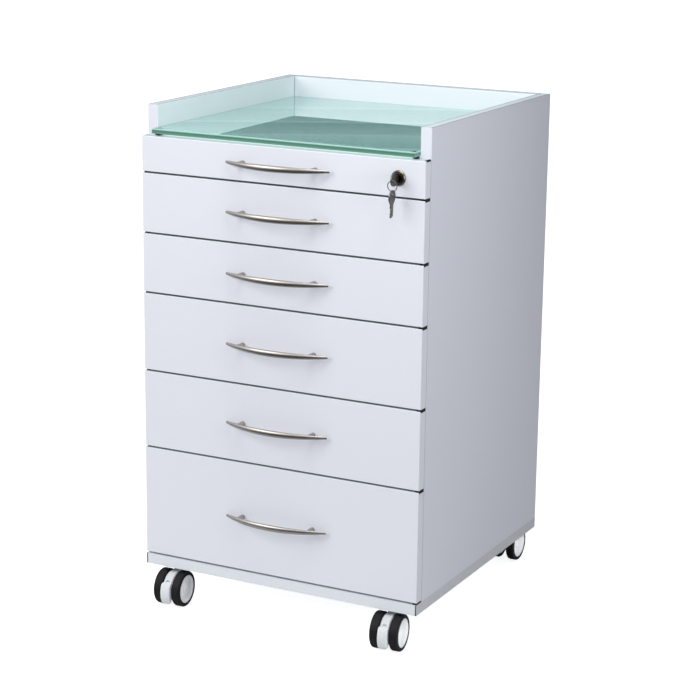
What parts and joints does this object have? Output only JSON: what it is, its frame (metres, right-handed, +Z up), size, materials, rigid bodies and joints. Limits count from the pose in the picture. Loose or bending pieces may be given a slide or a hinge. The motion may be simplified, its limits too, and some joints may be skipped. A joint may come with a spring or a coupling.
{
  "type": "mobile drawer cabinet",
  "caption": "White mobile surgery cabinet: stacked drawers with bow handles on telescopic slides, a lock on the top one, a glass worktop in a low gallery, and twin-wheel castors.",
  "frame": {"origin": "on the floor under the middle of the footprint, halfway from the handles' fronts to the rear wheels' backs", "axes": "+Z up, drawers open towards -Y, +X to the right of someone facing the drawers"},
  "size_m": [0.5, 0.5472, 0.8345],
  "materials": {
    "white_board": "white melamine board, satin",
    "front_board": "white melamine board, satin, edge-banded",
    "inner_board": "white melamine board",
    "drawer_board": "white melamine board, matt",
    "worktop_glass": "clear float glass, green at its ground edge",
    "zinc_steel": "bright zinc-plated steel",
    "handle_steel": "brushed nickel",
    "lock_metal": "nickel plate",
    "key_metal": "nickel-plated brass, worn",
    "castor_plastic": "light grey moulded nylon",
    "hub_plastic": "off-white moulded nylon",
    "tyre_rubber": "black soft polyurethane"
  },
  "bodies": {
    "carcass": {"base_board": "white_board", "side_panel_left": "white_board", "side_panel_right": "white_board", "back_panel": "white_board", "top_panel": "inner_board", "glass_top": "worktop_glass", "slide_cabinet_members": "zinc_steel", "castor_plates": "zinc_steel", "castor_screws": "zinc_steel"},
    "drawer_1": {"drawer_1_front": "front_board", "drawer_1_box": "drawer_board", "drawer_1_handle": "handle_steel", "drawer_1_slide_inner": "zinc_steel", "lock_cylinder": "lock_metal"},
    "drawer_1_middle": {"drawer_1_slide_middle": "zinc_steel"},
    "drawer_2": {"drawer_2_front": "front_board", "drawer_2_box": "drawer_board", "drawer_2_handle": "handle_steel", "drawer_2_slide_inner": "zinc_steel"},
    "drawer_2_middle": {"drawer_2_slide_middle": "zinc_steel"},
    "drawer_3": {"drawer_3_front": "front_board", "drawer_3_box": "drawer_board", "drawer_3_handle": "handle_steel", "drawer_3_slide_inner": "zinc_steel"},
    "drawer_3_middle": {"drawer_3_slide_middle": "zinc_steel"},
    "drawer_4": {"drawer_4_front": "front_board", "drawer_4_box": "drawer_board", "drawer_4_handle": "handle_steel", "drawer_4_slide_inner": "zinc_steel"},
    "drawer_4_middle": {"drawer_4_slide_middle": "zinc_steel"},
    "drawer_5": {"drawer_5_front": "front_board", "drawer_5_box": "drawer_board", "drawer_5_handle": "handle_steel", "drawer_5_slide_inner": "zinc_steel"},
    "drawer_5_middle": {"drawer_5_slide_middle": "zinc_steel"},
    "drawer_6": {"drawer_6_front": "front_board", "drawer_6_box": "drawer_board", "drawer_6_handle": "handle_steel", "drawer_6_slide_inner": "zinc_steel"},
    "drawer_6_middle": {"drawer_6_slide_middle": "zinc_steel"},
    "lock_turning": {"lock_plug": "lock_metal", "lock_key": "key_metal"},
    "ring": {"key_ring": "key_metal"},
    "castor_front_left": {"castor_front_left_hood": "castor_plastic"},
    "castor_front_left_wheels": {"castor_front_left_hubs": "hub_plastic", "castor_front_left_tyres": "tyre_rubber"},
    "castor_front_left_brake_lever": {"castor_front_left_brake": "castor_plastic"},
    "castor_front_right": {"castor_front_right_hood": "castor_plastic"},
    "castor_front_right_wheels": {"castor_front_right_hubs": "hub_plastic", "castor_front_right_tyres": "tyre_rubber"},
    "castor_front_right_brake_lever": {"castor_front_right_brake": "castor_plastic"},
    "castor_rear_left": {"castor_rear_left_hood": "castor_plastic"},
    "castor_rear_left_wheels": {"castor_rear_left_hubs": "hub_plastic", "castor_rear_left_tyres": "tyre_rubber"},
    "castor_rear_right": {"castor_rear_right_hood": "castor_plastic"},
    "castor_rear_right_wheels": {"castor_rear_right_hubs": "hub_plastic", "castor_rear_right_tyres": "tyre_rubber"}
  },
  "joints": [
    {"name": "drawer_1_slide", "type": "slide", "parent": "carcass", "child": "drawer_1", "axis": [0, -1, 0], "range_m": [0, 0.4]},
    {"name": "drawer_1_middle_slide", "type": "slide", "parent": "carcass", "child": "drawer_1_middle", "axis": [0, -1, 0], "range_m": [0, 0.2]},
    {"name": "drawer_2_slide", "type": "slide", "parent": "carcass", "child": "drawer_2", "axis": [0, -1, 0], "range_m": [0, 0.4]},
    {"name": "drawer_2_middle_slide", "type": "slide", "parent": "carcass", "child": "drawer_2_middle", "axis": [0, -1, 0], "range_m": [0, 0.2]},
    {"name": "drawer_3_slide", "type": "slide", "parent": "carcass", "child": "drawer_3", "axis": [0, -1, 0], "range_m": [0, 0.4]},
    {"name": "drawer_3_middle_slide", "type": "slide", "parent": "carcass", "child": "drawer_3_middle", "axis": [0, -1, 0], "range_m": [0, 0.2]},
    {"name": "drawer_4_slide", "type": "slide", "parent": "carcass", "child": "drawer_4", "axis": [0, -1, 0], "range_m": [0, 0.4]},
    {"name": "drawer_4_middle_slide", "type": "slide", "parent": "carcass", "child": "drawer_4_middle", "axis": [0, -1, 0], "range_m": [0, 0.2]},
    {"name": "drawer_5_slide", "type": "slide", "parent": "carcass", "child": "drawer_5", "axis": [0, -1, 0], "range_m": [0, 0.4]},
    {"name": "drawer_5_middle_slide", "type": "slide", "parent": "carcass", "child": "drawer_5_middle", "axis": [0, -1, 0], "range_m": [0, 0.2]},
    {"name": "drawer_6_slide", "type": "slide", "parent": "carcass", "child": "drawer_6", "axis": [0, -1, 0], "range_m": [0, 0.4]},
    {"name": "drawer_6_middle_slide", "type": "slide", "parent": "carcass", "child": "drawer_6_middle", "axis": [0, -1, 0], "range_m": [0, 0.2]},
    {"name": "lock_turn", "type": "hinge", "parent": "drawer_1", "child": "lock_turning", "pos_m": [0.2055, -0.24238, 0.758], "axis": [0, 1, 0], "range_deg": [0, 90]},
    {"name": "key_ring_turn", "type": "hinge", "parent": "lock_turning", "child": "ring", "pos_m": [0.2055, -0.26388, 0.74875], "axis": [0, 1, 0], "range_deg": [-90, 0]},
    {"name": "castor_front_left_swivel", "type": "hinge", "parent": "carcass", "child": "castor_front_left", "pos_m": [-0.2, -0.21438, 0], "axis": [0, 0, 1], "continuous": true},
    {"name": "castor_front_left_roll", "type": "hinge", "parent": "castor_front_left", "child": "castor_front_left_wheels", "pos_m": [-0.19874, -0.23834, 0.03], "axis": [0.9986, 0.0523, 0], "continuous": true},
    {"name": "castor_front_left_brake_press", "type": "hinge", "parent": "castor_front_left", "child": "castor_front_left_brake_lever", "pos_m": [-0.1979, -0.25441, 0.0435], "axis": [0.9986, 0.0523, 0], "range_deg": [0, 5]},
    {"name": "castor_front_right_swivel", "type": "hinge", "parent": "carcass", "child": "castor_front_right", "pos_m": [0.2, -0.21438, 0], "axis": [0, 0, 1], "continuous": true},
    {"name": "castor_front_right_roll", "type": "hinge", "parent": "castor_front_right", "child": "castor_front_right_wheels", "pos_m": [0.20209, -0.23828, 0.03], "axis": [0.9962, 0.0872, 0], "continuous": true},
    {"name": "castor_front_right_brake_press", "type": "hinge", "parent": "castor_front_right", "child": "castor_front_right_brake_lever", "pos_m": [0.20349, -0.25431, 0.0435], "axis": [0.9962, 0.0872, 0], "range_deg": [0, 5]},
    {"name": "castor_rear_left_swivel", "type": "hinge", "parent": "carcass", "child": "castor_rear_left", "pos_m": [-0.2, 0.21962, 0], "axis": [0, 0, 1], "continuous": true},
    {"name": "castor_rear_left_roll", "type": "hinge", "parent": "castor_rear_left", "child": "castor_rear_left_wheels", "pos_m": [-0.2, 0.24363, 0.03], "axis": [-1, 0, 0], "continuous": true},
    {"name": "castor_rear_right_swivel", "type": "hinge", "parent": "carcass", "child": "castor_rear_right", "pos_m": [0.2, 0.21962, 0], "axis": [0, 0, 1], "continuous": true},
    {"name": "castor_rear_right_roll", "type": "hinge", "parent": "castor_rear_right", "child": "castor_rear_right_wheels", "pos_m": [0.2, 0.24363, 0.03], "axis": [-1, 0, 0], "continuous": true}
  ],
  "couplings": [
    {"joint": "drawer_1_middle_slide", "follows": "drawer_1_slide", "ratio": 0.5},
    {"joint": "drawer_2_middle_slide", "follows": "drawer_2_slide", "ratio": 0.5},
    {"joint": "drawer_3_middle_slide", "follows": "drawer_3_slide", "ratio": 0.5},
    {"joint": "drawer_4_middle_slide", "follows": "drawer_4_slide", "ratio": 0.5},
    {"joint": "drawer_5_middle_slide", "follows": "drawer_5_slide", "ratio": 0.5},
    {"joint": "drawer_6_middle_slide", "follows": "drawer_6_slide", "ratio": 0.5},
    {"joint": "key_ring_turn", "follows": "lock_turn", "ratio": -1}
  ]
}
